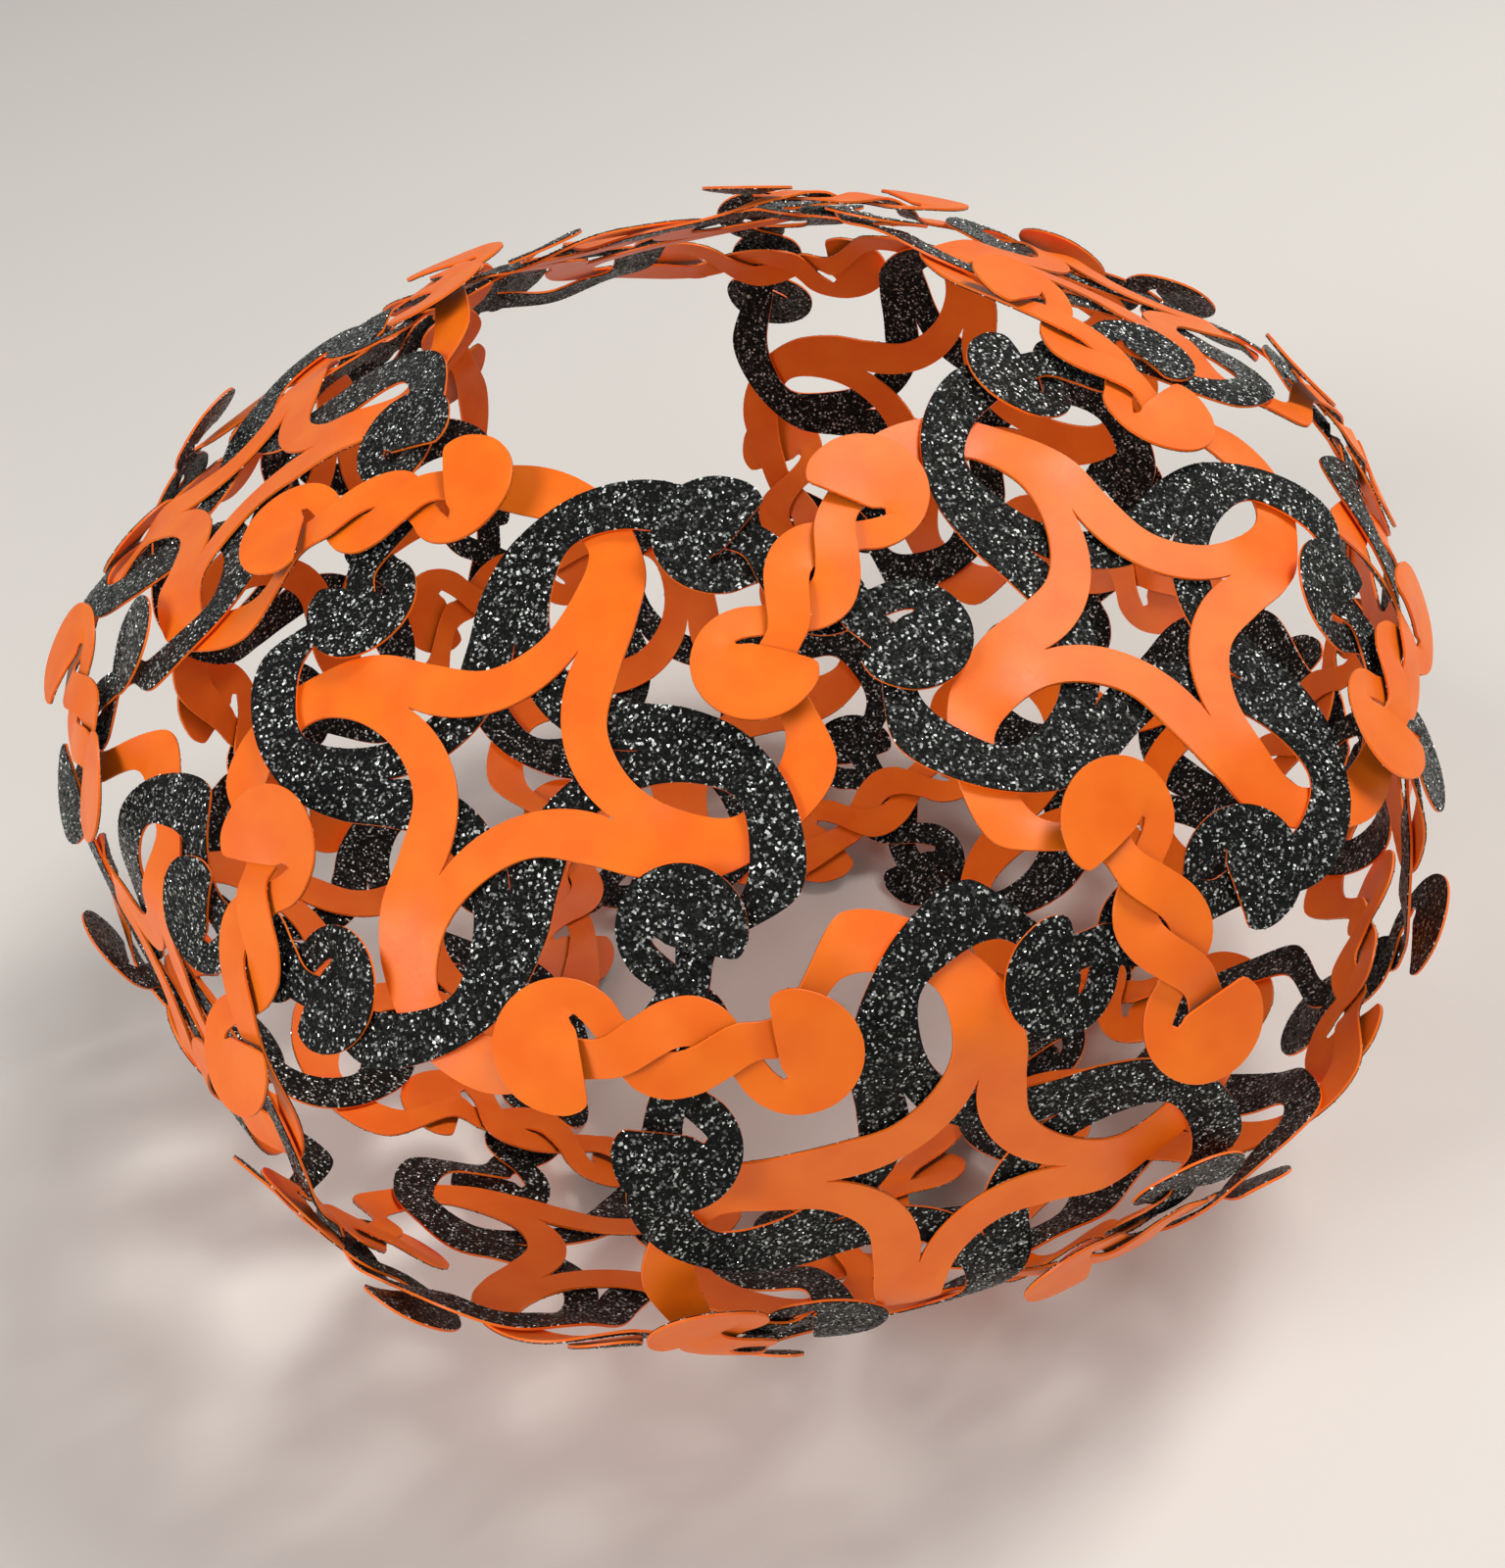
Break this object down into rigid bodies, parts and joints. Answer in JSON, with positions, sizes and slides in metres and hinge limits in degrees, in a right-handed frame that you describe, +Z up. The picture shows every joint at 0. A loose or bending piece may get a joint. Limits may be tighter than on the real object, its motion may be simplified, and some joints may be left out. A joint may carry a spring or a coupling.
{
  "type": "kusudama paper ball",
  "caption": "Hollow openwork ball of curly cut card stars in orange and black glitter card, hooked together at slit heads without glue.",
  "frame": {"origin": "centre of the ball", "axes": "+Z up through the five-sided top opening, +X through the middle of the first module of the top ring"},
  "size_m": [0.1749, 0.1818, 0.1212],
  "materials": {
    "orange_card": "satin orange outer face, with the black ply's thin line on the cut edge",
    "black_glitter_card": "black glitter outer face with silver flakes, orange on the inner face and the cut edge"
  },
  "bodies": {
    "root": {"bottom_1_black": "black_glitter_card", "bottom_1_orange": "orange_card", "bottom_2_black": "black_glitter_card", "bottom_2_orange": "orange_card", "bottom_3_black": "black_glitter_card", "bottom_3_orange": "orange_card", "bottom_4_black": "black_glitter_card", "bottom_4_orange": "orange_card", "bottom_5_black": "black_glitter_card", "bottom_5_orange": "orange_card", "middle_1_black": "black_glitter_card", "middle_1_orange": "orange_card", "middle_2_black": "black_glitter_card", "middle_2_orange": "orange_card", "middle_3_black": "black_glitter_card", "middle_3_orange": "orange_card", "middle_4_black": "black_glitter_card", "middle_4_orange": "orange_card", "middle_5_black": "black_glitter_card", "middle_5_orange": "orange_card", "top_1_black": "black_glitter_card", "top_1_orange": "orange_card", "top_2_black": "black_glitter_card", "top_2_orange": "orange_card", "top_3_black": "black_glitter_card", "top_3_orange": "orange_card", "top_4_black": "black_glitter_card", "top_4_orange": "orange_card", "top_5_black": "black_glitter_card", "top_5_orange": "orange_card"}
  },
  "joints": []
}
